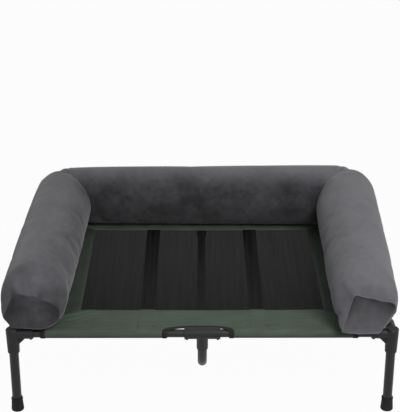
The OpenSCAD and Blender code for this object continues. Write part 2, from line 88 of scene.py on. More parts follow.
# Noise seldom leaves the middle of its range, so that middle is spread over the whole range of a finish.
TONE_NOISE = {"From Min": 0.32, "From Max": 0.68}
MIDDLE_NOISE = {"From Min": 0.3, "From Max": 0.7}


def grained(name, dark, light, patch, grain, depth, smooth, rough, long=1, **sockets):
    """A solid-coloured finish: cloudy patches between two tones and two roughnesses, and a fine grain in
    relief. patch and grain are the widths of the clouds and of one grain, and depth is the grain's height, in
    metres. The clouds are long times as long along Y as across it."""
    material, tree = new_material(name)
    place = add(tree, "TexCoord").outputs["Object"]
    streaked = add(tree, "Mapping", {"Vector": place, "Scale": (1, 1 / long, 1)}).outputs["Vector"]
    clouds = add(tree, "TexNoise", {"Vector": streaked, "Scale": 1 / patch, "Detail": 4.0}).outputs["Fac"]
    share = add(tree, "MapRange", {"Value": clouds, **TONE_NOISE}).outputs["Result"]
    tone = add(tree, "MixRGB", {"Fac": share, "Color1": linear(dark), "Color2": linear(light)})
    gloss = add(tree, "MapRange", {"Value": clouds, **MIDDLE_NOISE, "To Min": smooth, "To Max": rough})
    grains = add(tree, "TexNoise", {"Vector": place, "Scale": 1 / grain, "Detail": 2.0}).outputs["Fac"]
    relief = add(tree, "Bump", {"Height": grains, "Distance": depth})
    surface(tree, Base_Color=tone.outputs["Color"], Roughness=gloss.outputs["Result"],
            Normal=relief.outputs["Normal"], **sockets)
    return material


def dress(names, finish):
    """Gives carried-over solids their finish."""
    for name in names:
        nodes[name].material_slots[0].material = finish


CORNERS = ("front_left", "front_right", "back_left", "back_right")
# Orange peel is about 2 mm from crest to crest and a few hundredths deep.
powder_coat = grained("powder_coated_steel", "#161616", "#1e1e1f", 45 * MM, 2 * MM, 0.04 * MM, 0.38, 0.5,
                      Specular_IOR_Level=0.35)
dress([f"leg_{corner}" for corner in CORNERS], powder_coat)
dress([f"{end}_rail_{side}" for end in ("front", "back", "side") for side in ("left", "right")], powder_coat)
dress(["centre_support_bar"], powder_coat)


# Connectors
# The corner connectors and the two tees are moulded polypropylene, filled black, pushed over the tube ends.
# The mould is spark eroded, so the plastic has a fine matt grain and a soft, broad highlight.
moulded = grained("moulded_polypropylene", "#131314", "#1b1b1c", 30 * MM, 1.1 * MM, 0.06 * MM, 0.5, 0.62,
                  Specular_IOR_Level=0.35)
dress([f"corner_{corner}" for corner in CORNERS] + ["front_tee", "back_tee"], moulded)


# Screws
# Self-tapping screws, blackened steel, hold the rails in the connectors from below.
# The black oxide is thin, so the heads still glint like metal.
oxide = grained("blackened_steel", "#2c2c2e", "#3a3a3c", 3 * MM, 0.5 * MM, 0.01 * MM, 0.34, 0.45,
                Metallic=0.9)
dress(["corner_screws", "tee_screws"], oxide)


# Feet
# The feet are moulded rubber cups, pressed over the leg ends, with a rolled rim over a groove.
# Rubber is matt and dusty, a little greyer where it scuffs on the floor.
rubber = grained("moulded_rubber", "#121212", "#1b1b1a", 9 * MM, 0.9 * MM, 0.05 * MM, 0.68, 0.82,
                 Specular_IOR_Level=0.3)
dress([f"foot_{corner}" for corner in CORNERS], rubber)


# Sling mesh
# The centre of the sling is an open weave of vinyl-coated polyester yarn, sewn under the cloth borders.
# Each yarn is a flat strip of its own, warp over weft, and what lies under the mesh shows through faintly.
def grid_faces(rows, columns, closed=False):
    """Quads of a grid of points, row after row. A closed grid joins its last column to its first."""
    row = np.arange(rows - 1)[:, None] * columns
    column = np.arange(columns if closed else columns - 1)[None, :]
    following = (column + 1) % columns
    corners = (row + column, row + following, row + columns + following, row + columns + column)
    return np.stack(corners, axis=-1).reshape(-1, 4)


def new_piece(name, points, faces, finish, body, caps=()):
    """A smooth-shaded mesh at the origin that rides on a body. caps are polygons that close its open ends."""
    mesh = bpy.data.meshes.new(name)
    mesh.from_pydata(points.reshape(-1, 3).tolist(), [], faces.tolist() + list(caps))
    mesh.shade_smooth()
    mesh.materials.append(finish)
    piece = bpy.data.objects.new(name, mesh)
    bpy.context.scene.collection.objects.link(piece)
    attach(piece, body)
    return piece


def joined(parts):
    """Several (points, faces) as one."""
    starts = np.cumsum([0] + [len(points.reshape(-1, 3)) for points, _ in parts])
    points = np.concatenate([points.reshape(-1, 3) for points, _ in parts])
    return points, np.concatenate([faces + start for (_, faces), start in zip(parts, starts)])


SAG = 5 * MM
side_low, side_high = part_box("side_rail_left")
front_low, front_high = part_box("front_rail_left")
rail_x = -(side_low.x + side_high.x) / 2
rail_y = -(front_low.y + front_high.y) / 2
rail_z = (front_low.z + front_high.z) / 2
mesh_low, mesh_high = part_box("mesh_panel")
MESH_SEAM = 12 * MM
mesh_x = mesh_high.x - MESH_SEAM
mesh_y = mesh_high.y - MESH_SEAM


def deck_sag(x, y):
    """How far the stretched sling hangs below its rails: nothing at a rail, most in the middle."""
    across = np.clip(1 - (x / rail_x) ** 2, 0, 1)
    return -SAG * across * np.clip(1 - (y / rail_y) ** 2, 0, 1)


# The real yarns are about 1 mm apart, too fine to show, so they are drawn 2.3 mm apart. The pinholes
# between them are finer still, so the warp is drawn closed and lets as much through as its pinholes would.
YARN_PITCH = 2.3 * MM
YARN_CROWN = 0.3 * MM
YARN_POINTS = 29
# How much a yarn wanders from its place, as a share of the pitch, and how much it varies in width
YARN_WANDER = 0.005
YARN_UNEVEN = 0.006
WARP_WIDTHS = (2.36 * MM, 2.36 * MM)
WARP_SEED = 4
# The weft lies below it and is drawn fuller towards the front, so less shows through there: painted shade for
# the floor's shadow under the cot, seen through the mesh
WEFT_SHADE_WIDTHS = (1.9 * MM, 0.2 * MM)
WEFT_CROWN = 0.05 * MM
WEFT_SEED = 9


def yarns(half_across, half_along, widths, crown, level, seed):
    """Flat yarns side by side, each arched by crown over its width, as points [across, along, up]. widths are
    those of the first yarn and the last. Each yarn wanders and varies in width by a seeded draw."""
    draw = np.random.default_rng(seed)
    count = int(2 * half_across / YARN_PITCH)
    centre = (np.arange(count) + 0.5) * YARN_PITCH - count * YARN_PITCH / 2
    centre = centre + draw.normal(0, YARN_WANDER * YARN_PITCH, count)
    half = np.linspace(*widths, count) / 2 * draw.uniform(1 - YARN_UNEVEN, 1 + YARN_UNEVEN, count)
    along = np.linspace(-half_along, half_along, YARN_POINTS)
    shape = (count, len(along), 3)
    across = np.broadcast_to((centre[:, None] + half[:, None] * np.array([-1, 0, 1]))[:, None, :], shape)
    up = np.broadcast_to(level + crown * np.array([0, 1, 0]), shape)
    points = np.stack([across, np.broadcast_to(along[None, :, None], shape), up], axis=-1)
    faces = np.arange(count)[:, None, None] * len(along) * 3 + grid_faces(len(along), 3)
    return points.reshape(-1, 3), faces.reshape(-1, 4)


warp_level = (mesh_low.z + mesh_high.z) / 2
weft_level = warp_level - YARN_CROWN
warp, warp_faces = yarns(mesh_high.x, mesh_high.y, WARP_WIDTHS, YARN_CROWN, warp_level, WARP_SEED)
# The weft's widths paint shade into the front of the mesh
weft, weft_faces = yarns(mesh_high.y, mesh_high.x, WEFT_SHADE_WIDTHS, WEFT_CROWN, weft_level, WEFT_SEED)
weft = weft[:, [1, 0, 2]]
weft_faces = weft_faces[:, ::-1]
net, net_faces = joined([(warp, warp_faces), (weft, weft_faces)])
net[:, 2] += deck_sag(net[:, 0], net[:, 1])
# Vinyl-coated yarn is a dull black, in streaks a few yarns wide that run with the warp.
vinyl_yarn = grained("vinyl_coated_yarn", "#040404", "#1d1e1d", 4.5 * MM, 2.3 * MM, 0.05 * MM, 0.7, 0.85,
                     long=60, Specular_IOR_Level=0.1, Alpha=0.98)
mesh_panel = new_piece("mesh_weave", net, net_faces, vinyl_yarn, "cot")
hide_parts("mesh_panel")


# Sling borders
# Four panels of coated oxford cloth frame the mesh. Each wraps round its rail as a sleeve and is hemmed
# below, with an arch cut out over a tee, a round notch at each leg and mitred seams at the mesh's corners.
CLOTH = 1.2 * MM
HEM = 40 * MM
NOTCH_R = 80 * MM
# The front left notch was cut smaller than the other three
NOTCH_SMALL = 66 * MM
ARCH_HALF = 73 * MM
# The front arch was cut wider to the left of the tee than to its right
ARCH_EXTRA = 20 * MM
ARCH_IN = 16 * MM
ARCH_POWER = 2.5
MITRE_GAP = 0.2 * MM
deck_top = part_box("front_border")[1].z
sleeve_out = deck_top - rail_z
sleeve_r = sleeve_out - CLOTH / 2
arch_depth = sleeve_out + ARCH_IN
sleeve_turn = math.pi + 2 * math.atan(sleeve_r / HEM)
hem_end = -sleeve_turn * sleeve_r - HEM
QUARTER = math.pi / 2


def sleeve_profile(q, h):
    """Across a border, as u inwards from the rail and v up from it, at h outside the cloth's middle.
    q is measured along the cloth from the top of the rail: inwards over the deck it is positive, and negative
    round the sleeve and back along the hem."""
    turn = np.clip(-q / sleeve_r, 0, sleeve_turn)
    flat = np.maximum(q, 0)
    hem = np.maximum(-q - sleeve_r * sleeve_turn, 0)
    u = flat - (sleeve_r + h) * np.sin(turn) - hem * np.cos(turn)
    v = (sleeve_r + h) * np.cos(turn) - hem * np.sin(turn)
    return u, v


def along_cloth(u):
    """The q of a point that lies u inside the rail, on the deck or on the upper front of the sleeve."""
    return np.where(u >= 0, u, -sleeve_r * np.arcsin(np.clip(-u / sleeve_r, 0, 1)))


# For each side its quarter turns from the front, the mesh's half length along it, how far out the mesh ends,
# where along it the legs stand, and how far out its rail is
SIDES = {"front": (0, mesh_x, mesh_y, rail_x, rail_y), "right": (1, mesh_y, mesh_x, rail_y, rail_x),
         "back": (2, mesh_x, mesh_y, rail_x, rail_y), "left": (3, mesh_y, mesh_x, rail_y, rail_x)}
LONG_SIDES = ("front", "back")


def on_side(side, s, u, v):
    """Points of the cloth, from s along its rail, u inwards and v up, turned to that side of the cot and
    sagged."""
    turns, rail = SIDES[side][0], SIDES[side][4]
    x, y = s, u - rail
    for _ in range(turns):
        x, y = -y, x
    return np.stack([x, y, rail_z + v + deck_sag(x, y)], axis=-1)


def notch_radius(side, half):
    """The radius of the notch at one end of a border, half being -1 or 1 for the two ways along its rail."""
    return NOTCH_SMALL if (side, half) in (("front", -1), ("left", 1)) else NOTCH_R


def notch_edge(side, half, u):
    """How far the border reaches at u, where the round notch about the leg ends it."""
    return SIDES[side][3] - np.sqrt(np.maximum(notch_radius(side, half) ** 2 - u ** 2, 0))


def border_reach(side, half, q):
    """How far the border reaches at q to one side, up to the notch or the mitred seam, whichever comes
    first."""
    _, half_mesh, mesh, half_leg, rail = SIDES[side]
    u, _ = sleeve_profile(q, 0)
    mitre = half_mesh + (half_leg - half_mesh) * (1 - u / (rail - mesh)) - MITRE_GAP
    notched = np.minimum(notch_edge(side, half, u), mitre)
    return np.where(np.abs(u) < notch_radius(side, half), notched, mitre)


def arch_reach(side, half):
    """How far the arch reaches along the rail, half being -1 or 1 for the two ways along it."""
    return ARCH_HALF + (ARCH_EXTRA if side == "front" and half < 0 else 0)


def arch_half_width(side, half, q):
    """Width of the arched cut-out at q to one side: a superellipse in plan down to the front of the rail."""
    u, _ = sleeve_profile(q, 0)
    reach = arch_reach(side, half)
    inside = np.clip((u + sleeve_out) / arch_depth, 0, 1)
    width = reach * (1 - inside ** ARCH_POWER) ** (1 / ARCH_POWER)
    return np.where(q < -QUARTER * sleeve_r, reach, np.where(u > ARCH_IN, 0, width))


strap_low, strap_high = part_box("strap_right")
strap_x = (strap_low.x + strap_high.x) / 2
STRAP_HALF = (strap_high.x - strap_low.x) / 2


def step(x, width):
    """A smooth step from 0 to 1 across x = 0."""
    t = np.clip(x / width + 0.5, 0, 1)
    return t * t * (3 - 2 * t)


# Slack folds near the notches lean against the rail, a slow slack goes all along, and each strap raises a
# ridge. Each of them fades in over a width, from a place inside the rail.
FOLD_HEIGHT = 0.7 * MM
FOLD_WAVE = 5.2 * MM
FOLD_LEAN = (0.8, 1.6)
FOLD_FROM_LEG = 130 * MM
FOLD_SPREAD = 60 * MM
FOLD_INSIDE, FOLD_FADE = 12 * MM, 20 * MM
SLACK_HEIGHT = 0.35 * MM
SLACK_LONG, SLACK_SHORT, SLACK_SKEW = 47 * MM, 21 * MM, 90 * MM
SLACK_START = 1.3
SLACK_INSIDE, SLACK_FADE = 8 * MM, 24 * MM
RIDGE_HEIGHT = 1.5 * MM
RIDGE_WIDER, RIDGE_SLOPE = 1 * MM, 2.5 * MM
RIDGE_INSIDE, RIDGE_FADE = -4 * MM, 8 * MM


def cloth_relief(side, s, q):
    """How far the cloth stands off its own plane: slack folds that run from the notches, a slow slack, and on
    the long borders the webbing straps that show through."""
    from_folds = (np.abs(s) - SIDES[side][3] + FOLD_FROM_LEG) / FOLD_SPREAD
    near = np.exp(-from_folds ** 2) * step(q - FOLD_INSIDE, FOLD_FADE)
    folds = FOLD_HEIGHT * near * np.sin((FOLD_LEAN[0] * np.abs(s) + FOLD_LEAN[1] * q) / FOLD_WAVE)
    wave = np.sin(s / SLACK_LONG + SLACK_START) * np.sin(q / SLACK_SHORT + s / SLACK_SKEW)
    slack = SLACK_HEIGHT * wave * step(q - SLACK_INSIDE, SLACK_FADE)
    ridge = 0
    if side in LONG_SIDES:
        over = step(STRAP_HALF + RIDGE_WIDER - np.abs(np.abs(s) - strap_x), RIDGE_SLOPE)
        ridge = RIDGE_HEIGHT * over * step(q - RIDGE_INSIDE, RIDGE_FADE)
    return folds + slack + ridge


DECK_ROWS = 14
ARCH_ROWS = 21
UNDER_ROWS = 13
HEM_ROWS = 5
BORDER_COLUMNS = 121


def border_rows(side):
    """The q of each row across a border: over the deck, past the arch, round the sleeve and along the hem."""
    _, _, mesh, _, rail = SIDES[side]
    deck = np.linspace(rail - mesh, ARCH_IN, DECK_ROWS + 1)[:-1]
    turn = np.linspace(QUARTER, 0, ARCH_ROWS)
    arch = along_cloth(arch_depth * np.sin(turn) ** (2 / ARCH_POWER) - sleeve_out)
    under = np.linspace(-QUARTER, -sleeve_turn, UNDER_ROWS + 1)[1:] * sleeve_r
    hem = under[-1] - np.linspace(0, HEM, HEM_ROWS + 1)[1:]
    return np.concatenate([deck, arch, under, hem])


def border_panel(side, half):
    """One half of a border, half being -1 or 1: rows of q, and columns from the middle or the arch outwards,
    as points, faces and the flat cloth's own (s, q)."""
    q = border_rows(side)[:, None]
    inner = arch_half_width(side, half, q) if side in LONG_SIDES else 0 * q
    outer = border_reach(side, half, q)
    s = half * (inner + (outer - inner) * np.linspace(0, 1, BORDER_COLUMNS)[None, :])
    u, v = sleeve_profile(q, cloth_relief(side, s, q))
    points = on_side(side, s, u, v)
    faces = grid_faces(*s.shape)[:, ::-half]
    return points, faces, np.stack([s, np.broadcast_to(q, s.shape)], axis=-1)


def lay_pattern(piece, flat):
    """A UV map in metres, as the cloth lay before it was sewn, for its weave to follow."""
    corner = np.zeros(len(piece.data.loops), np.int32)
    piece.data.loops.foreach_get("vertex_index", corner)
    layer = piece.data.uv_layers.new(name="flat_cloth")
    layer.uv.foreach_set("vector", flat.reshape(-1, 2)[corner].astype(np.float32).ravel())


# A wave texture repeats this often at a scale of 1
WAVE_PERIOD = math.tau / 20
CLOTH_PATCH = 60 * MM
# A slub's length against its width
SLUB_LONG = 12
# Painted shade between the threads and painted highlight on them, against the cloth's own tone
THREAD_PAINTED_SHADE = {"To Min": 0.8, "To Max": 1.06}


def woven(name, dark, light, pitch, depth, rough, streak):
    """A plain weave: two sets of threads, pitch apart on the flat cloth, as a chequer of raised crossings,
    with cloudy patches and slubby streaks between two tones. The tone is also painted darker between the
    threads and paler on the crossings: painted shade and highlight of the weave."""
    material, tree = new_material(name)
    flat = add(tree, "UVMap", uv_map="flat_cloth").outputs["UV"]
    place = add(tree, "TexCoord").outputs["Object"]
    wave = {"Vector": flat, "Scale": WAVE_PERIOD / pitch}
    warp_wave = add(tree, "TexWave", wave, bands_direction="X").outputs["Color"]
    weft_wave = add(tree, "TexWave", wave, bands_direction="Y").outputs["Color"]
    raised = add(tree, "MixRGB", {"Fac": 1.0, "Color1": warp_wave, "Color2": weft_wave},
                 blend_type="DIFFERENCE").outputs["Color"]
    clouds = add(tree, "TexNoise", {"Vector": place, "Scale": 1 / CLOTH_PATCH, "Detail": 5.0}).outputs["Fac"]
    stretched = add(tree, "Mapping", {"Vector": flat, "Scale": (1 / streak, SLUB_LONG / streak, 1)})
    slubs = add(tree, "TexNoise", {"Vector": stretched.outputs["Vector"], "Scale": 1.0, "Detail": 3.0})
    mixed = add(tree, "Math", {0: clouds, 1: slubs.outputs["Fac"]}, operation="ADD").outputs["Value"]
    share = add(tree, "MapRange", {"Value": mixed, "From Min": 0.7, "From Max": 1.3}).outputs["Result"]
    tone = add(tree, "MixRGB", {"Fac": share, "Color1": linear(dark), "Color2": linear(light)})
    # Painted shade and highlight: the weave's relief darkens the tone between threads and pales it on them
    threads = add(tree, "MapRange", {"Value": raised, **THREAD_PAINTED_SHADE}).outputs["Result"]
    shaded = add(tree, "MixRGB", {"Fac": 1.0, "Color1": tone.outputs["Color"], "Color2": threads},
                 blend_type="MULTIPLY")
    relief = add(tree, "Bump", {"Height": raised, "Distance": depth})
    surface(tree, Base_Color=shaded.outputs["Color"], Normal=relief.outputs["Normal"], Roughness=rough,
            Specular_IOR_Level=0.2)
    return material


# Coated oxford is smooth and dull, in an uneven green. Its threads are about 0.5 mm apart, too fine to show,
# so they are drawn 1.8 mm apart.
oxford = woven("coated_oxford_cloth", "#4a544a", "#596559", 1.8 * MM, 0.12 * MM, 0.7, 70 * MM)
# The side borders get a darker copy of the cloth: painted shade for the shadow that the bolster's arms cast
# over them.
oxford_painted_shade = woven("coated_oxford_cloth_painted_shade", "#353c35", "#404840", 1.8 * MM, 0.12 * MM, 0.7, 70 * MM)


def thicken(piece, thickness):
    """Gives a sheet its thickness, half to each side."""
    wall = piece.modifiers.new("thickness", "SOLIDIFY")
    wall.thickness = thickness
    wall.offset = 0


WELD_GAP = 0.02 * MM


def weld(piece):
    """Joins the points of a piece's parts where they meet."""
    joint = piece.modifiers.new("weld", "WELD")
    joint.merge_threshold = WELD_GAP


for side, (_, half_mesh, mesh, half_leg, rail) in SIDES.items():
    left, right = border_panel(side, -1), border_panel(side, 1)
    points, faces = joined([left[:2], right[:2]])
    # The side borders take the darker copy of the cloth, painted shade from the arms
    cloth = oxford if side in LONG_SIDES else oxford_painted_shade
    border = new_piece(f"{side}_border_cloth", points, faces, cloth, "cot")
    lay_pattern(border, np.concatenate([left[2].reshape(-1, 2), right[2].reshape(-1, 2)]))
    weld(border)
    thicken(border, CLOTH)
    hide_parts(f"{side}_border")


# Bindings
# Black polyester tape is folded over the raw edges of the cloth, round the arches and the corner notches, and
# sewn through. Each tape is a flat section with a rounded nose, carried along the edge it covers.
TAPE_W = 11 * MM
TAPE = 0.9 * MM
HALF_CLOTH = CLOTH / 2
# The section, as distance in from the cloth's edge and height above the cloth's middle
TAPE_SECTION = np.array([(TAPE_W, HALF_CLOTH), (TAPE_W, HALF_CLOTH + 0.7 * TAPE),
                         (0.9 * TAPE_W, HALF_CLOTH + TAPE), (0.5 * TAPE_W, HALF_CLOTH + 1.05 * TAPE),
                         (0.1 * TAPE_W, HALF_CLOTH + TAPE),
                         (-0.5 * TAPE, HALF_CLOTH + 0.6 * TAPE), (-0.8 * TAPE, 0), (-0.5 * TAPE, -HALF_CLOTH),
                         (0, -HALF_CLOTH), (0, HALF_CLOTH)])


def heading(s, q):
    """The direction of a path at each point, as its parts along s and q, and the length of each step."""
    ds, dq = np.gradient(s), np.gradient(q)
    size = np.hypot(ds, dq)
    return ds / size, dq / size, size


def tape_along(side, s, q):
    """A tape over the cloth's edge (s, q), with the cloth on the path's left as q against s: its points,
    faces and flat pattern."""
    along_s, along_q, size = heading(s, q)
    inwards = TAPE_SECTION[None, :, 0]
    across_s = s[:, None] - along_q[:, None] * inwards
    across_q = q[:, None] + along_s[:, None] * inwards
    u, v = sleeve_profile(across_q, TAPE_SECTION[None, :, 1] + cloth_relief(side, across_s, across_q))
    flat = np.stack(np.broadcast_arrays(np.cumsum(size)[:, None], inwards), axis=-1)
    return on_side(side, across_s, u, v), grid_faces(*across_s.shape, closed=True), flat


ARCH_UNDER_POINTS = 23
ARCH_POINTS = 31


def arch_edge(side):
    """The arch's edge from one hem, over the crown and down to the other."""
    under = np.linspace(hem_end, -QUARTER * sleeve_r, ARCH_UNDER_POINTS + 1)[:-1]
    turn = np.linspace(0, QUARTER, ARCH_POINTS)
    s = np.concatenate([np.ones(len(under)), np.cos(turn) ** (2 / ARCH_POWER)])
    depth = arch_depth * np.sin(turn) ** (2 / ARCH_POWER) - sleeve_out
    q = np.concatenate([under, along_cloth(depth)])
    return (np.concatenate([arch_reach(side, 1) * s, -arch_reach(side, -1) * s[-2::-1]]),
            np.concatenate([q, q[-2::-1]]))


NOTCH_TRIES = 400
NOTCH_POINTS = 60
# The path stops just short of the notch's inmost point, where it would turn back
NOTCH_SHARE = 0.98


def notch_path(side, half):
    """The notch's edge at one end of a border, from the hem round the sleeve to the mitred seam: of many
    tries along the cloth, those that end at the notch."""
    radius = notch_radius(side, half)
    q = np.linspace(hem_end, radius, NOTCH_TRIES)
    u, _ = sleeve_profile(q, 0)
    at_notch = np.isclose(border_reach(side, half, q), notch_edge(side, half, u))
    q = q[at_notch & (q < NOTCH_SHARE * radius)]
    q = np.interp(np.linspace(0, 1, NOTCH_POINTS), np.linspace(0, 1, len(q)), q)
    return border_reach(side, half, q), q


def end_caps(rows, columns, start=0):
    """The two polygons that close the ends of a closed grid, whose points begin at start."""
    first = start + np.arange(columns)
    return [first[::-1].tolist(), (first + (rows - 1) * columns).tolist()]


# Binding tape is a close rib weave: fine ridges across its length catch a little light.
tape_weave = woven("ribbed_polyester_tape", "#1c1b19", "#2a2824", 1.6 * MM, 0.1 * MM, 0.75, 40 * MM)
tapes = {side: [] for side in SIDES}
for side in LONG_SIDES:
    points, faces, flat = tape_along(side, *arch_edge(side))
    binding = new_piece(f"{side}_arch_tape", points, faces, tape_weave, "cot",
                        end_caps(*points.shape[:2]))
    lay_pattern(binding, flat)
    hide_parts(f"{side}_arch_binding")
    tapes[side].append(binding)


def notch_tape(side, half):
    """The tape round a notch, along its path at the far end of s and back along it at the near end."""
    s, q = notch_path(side, half)
    return tape_along(side, s, q) if half > 0 else tape_along(side, -s[::-1], q[::-1])


for end, long_half in (("front", {"left": -1, "right": 1}), ("back", {"left": 1, "right": -1})):
    for side, half in long_half.items():
        first, second = notch_tape(end, half), notch_tape(side, -half)
        points, faces = joined([first[:2], second[:2]])
        rows, columns = first[0].shape[:2]
        caps = end_caps(rows, columns) + end_caps(rows, columns, start=rows * columns)
        binding = new_piece(f"notch_tape_{end}_{side}", points, faces, tape_weave, "cot",
                            caps)
        lay_pattern(binding, np.concatenate([first[2].reshape(-1, 2), second[2].reshape(-1, 2)]))
        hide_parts(f"binding_{end}_{side}")
        tapes[end].append(binding)


# Stitching
# Lockstitched polyester thread holds the mesh under the borders, the hems, the tapes and the mitred seams.
# Each stitch is one small spindle that lies along its seam.
STITCH = 3.6 * MM
THREAD = 0.36 * MM
# Half a stitch's length against the step from one to the next
STITCH_HALF = 0.42
SPINDLE = np.array([(0, 2, 1), (0, 3, 2), (0, 4, 3), (0, 1, 4), (5, 1, 2), (5, 2, 3), (5, 3, 4), (5, 4, 1)])


def stitches(path, normal):
    """Spindles along a path of points: six tips each, two along the seam and two pairs across it."""
    length = np.concatenate([[0], np.cumsum(np.linalg.norm(np.diff(path, axis=0), axis=1))])
    at = np.arange(STITCH / 2, length[-1], STITCH)
    centre = np.stack([np.interp(at, length, path[:, i]) for i in range(3)], axis=-1)
    up = np.stack([np.interp(at, length, normal[:, i]) for i in range(3)], axis=-1)
    ahead = np.gradient(centre, axis=0)
    ahead = ahead / np.linalg.norm(ahead, axis=1, keepdims=True)
    beside = np.cross(up, ahead)
    long, wide, high = STITCH_HALF * STITCH * ahead, THREAD * beside, THREAD * up
    tips = np.stack([centre - long, centre + wide, centre + high, centre - wide, centre - high,
                     centre + long], axis=1)
    faces = np.arange(len(at))[:, None, None] * tips.shape[1] + SPINDLE
    return tips.reshape(-1, 3), faces.reshape(-1, 3)


def cloth_stitches(side, s, q, lift):
    """A row of stitches on a border, lift above the cloth's middle."""
    relief = cloth_relief(side, s, q)
    seat = on_side(side, s, *sleeve_profile(q, relief + lift))
    top = on_side(side, s, *sleeve_profile(q, relief + lift + THREAD))
    return stitches(seat, (top - seat) / np.linalg.norm(top - seat, axis=1, keepdims=True))


# How far each row lies in from its edge, where it ends, and the points of its path: two rows over the mesh's
# seam, one beside each mitre, one over the hem and one on each tape
MESH_ROWS = (2.5 * MM, 8.5 * MM)
MESH_ROW_SHORT = 3 * MM
MESH_ROW_POINTS = 200
MITRE_ROW = 2.5 * MM
MITRE_ROW_SHORT = 2 * MM
MITRE_ROW_END = 62 * MM
MITRE_ROW_POINTS = 60
HEM_ROW = HEM - 5 * MM
HEM_ROW_PAST_ARCH = 14 * MM
HEM_ROW_SHORT = 16 * MM
HEM_ROW_POINTS = 120
TAPE_ROW = 0.8 * TAPE_W
seams = []
for side, (_, _, mesh, _, rail) in SIDES.items():
    for inset in MESH_ROWS:
        q = np.full(MESH_ROW_POINTS, rail - mesh - inset)
        reach = border_reach(side, 1, q[:1])[0] - MESH_ROW_SHORT
        seams.append(cloth_stitches(side, np.linspace(-reach, reach, MESH_ROW_POINTS), q, HALF_CLOTH))
    for half in (-1, 1):
        q = np.linspace(rail - mesh - MITRE_ROW_SHORT, MITRE_ROW_END, MITRE_ROW_POINTS)
        s = border_reach(side, half, q) - MITRE_ROW
        seams.append(cloth_stitches(side, half * s, q, HALF_CLOTH))
        q = np.full(HEM_ROW_POINTS, HEM_ROW)
        inner = arch_reach(side, half) + HEM_ROW_PAST_ARCH if side in LONG_SIDES else 0
        s = np.linspace(inner, border_reach(side, half, q[:1])[0] - HEM_ROW_SHORT, HEM_ROW_POINTS)
        seams.append(cloth_stitches(side, half * s, q, HALF_CLOTH))
        s, q = notch_path(side, half)
        seams.append(cloth_stitches(side, half * (s - TAPE_ROW), q, HALF_CLOTH + TAPE))
for side in LONG_SIDES:
    s, q = arch_edge(side)
    along_s, along_q, _ = heading(s, q)
    seams.append(cloth_stitches(side, s - TAPE_ROW * along_q, q + TAPE_ROW * along_s, HALF_CLOTH + TAPE))
thread_points, thread_faces = joined(seams)
# Spun polyester thread: matt, a shade lighter than the cloth it sews.
thread = grained("spun_polyester_thread", "#3d443e", "#4d554e", 20 * MM, 0.8 * MM, 0.05 * MM, 0.7, 0.8)
new_piece("sling_stitching", thread_points, thread_faces, thread, "cot")


# Straps
# Two polypropylene webbing straps run under the mesh from the front hem to the back hem and carry its load.
# Webbing is woven in ribs along its length, with bound edges.
strap_t = strap_high.z - strap_low.z
# The section, as shares of the half width and of the thickness: its bound edges are thickest
STRAP_SECTION = np.array([(-1, 0), (-1, 0.75), (-0.94, 1), (-0.5, 0.94), (0, 0.9), (0.5, 0.94), (0.94, 1),
                          (1, 0.75), (1, 0)])
STRAP_ROWS = 90
# Black polypropylene is dull, and its coarse ribs show as a fine chequer.
webbing = woven("polypropylene_webbing", "#0f0f0f", "#1a1a1a", 2.4 * MM, 0.25 * MM, 0.6, 30 * MM)
for side, sign in (("left", -1), ("right", 1)):
    y = np.linspace(strap_low.y, strap_high.y, STRAP_ROWS)[:, None]
    x = sign * strap_x + STRAP_HALF * STRAP_SECTION[None, :, 0] + 0 * y
    z = strap_low.z + strap_t * STRAP_SECTION[None, :, 1] + deck_sag(x, y)
    points = np.stack([x, y + 0 * x, z], axis=-1)
    strap = new_piece(f"webbing_strap_{side}", points, grid_faces(*x.shape, closed=True), webbing, "cot",
                      end_caps(*x.shape))
    lay_pattern(strap, points[..., :2])
    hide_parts(f"strap_{side}")


# Hook-and-loop patches
# A soft loop patch is sewn on each side border, and a stiff hook patch under each arm of the bolster.
# Both are rectangles of nylon tape; the loops look like felt, the hooks like a fine brush.
PAD_EDGE = 1.2 * MM
# Where the grid's lines cross a pad, as shares of its side, closer together at its edges
PAD_LINES = np.concatenate([[0, 0.004, 0.012], np.linspace(0.03, 0.97, 24), [0.988, 0.996, 1]])


def patch_grid(low, high):
    """A low pad that fills a box: flat on top, with its edge rolled down over PAD_EDGE, as x, y and its share
    of the full height."""
    share_x, share_y = np.meshgrid(PAD_LINES, PAD_LINES, indexing="ij")
    x, y = low.x + (high.x - low.x) * share_x, low.y + (high.y - low.y) * share_y
    rim = np.minimum(np.minimum(x - low.x, high.x - x), np.minimum(y - low.y, high.y - y))
    return x, y, np.sqrt(np.clip(rim / PAD_EDGE, 0, 1))


# Nylon loops are a soft, matt tangle with a faint sheen, and nylon hooks are a stiffer, shinier stubble.
loop_pile = grained("nylon_loop_pile", "#161616", "#262626", 3 * MM, 1.2 * MM, 0.5 * MM, 0.85, 0.95,
                    Sheen_Weight=0.3)
hook_pile = grained("nylon_hooks", "#141414", "#202020", 2 * MM, 1.4 * MM, 0.6 * MM, 0.5, 0.7)
for side in ("left", "right"):
    for kind, body, finish, up in (("loop", "cot", loop_pile, 1), ("hook", "bolster", hook_pile, -1)):
        low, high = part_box(f"{kind}_patch_{side}")
        x, y, rise = patch_grid(low, high)
        thick = high.z - low.z
        far = low.z + thick * rise if up > 0 else high.z - thick * rise
        near = np.full_like(x, low.z if up > 0 else high.z)
        sag = deck_sag(x, y) if body == "cot" else 0
        faces = grid_faces(*x.shape)[:, ::-up]
        points, faces = joined([(np.stack([x, y, far + sag], axis=-1), faces),
                                (np.stack([x, y, near + sag], axis=-1), faces[:, ::-1])])
        patch = new_piece(f"{kind}_pad_{side}", points, faces, finish, body)
        weld(patch)
        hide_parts(f"{kind}_patch_{side}")


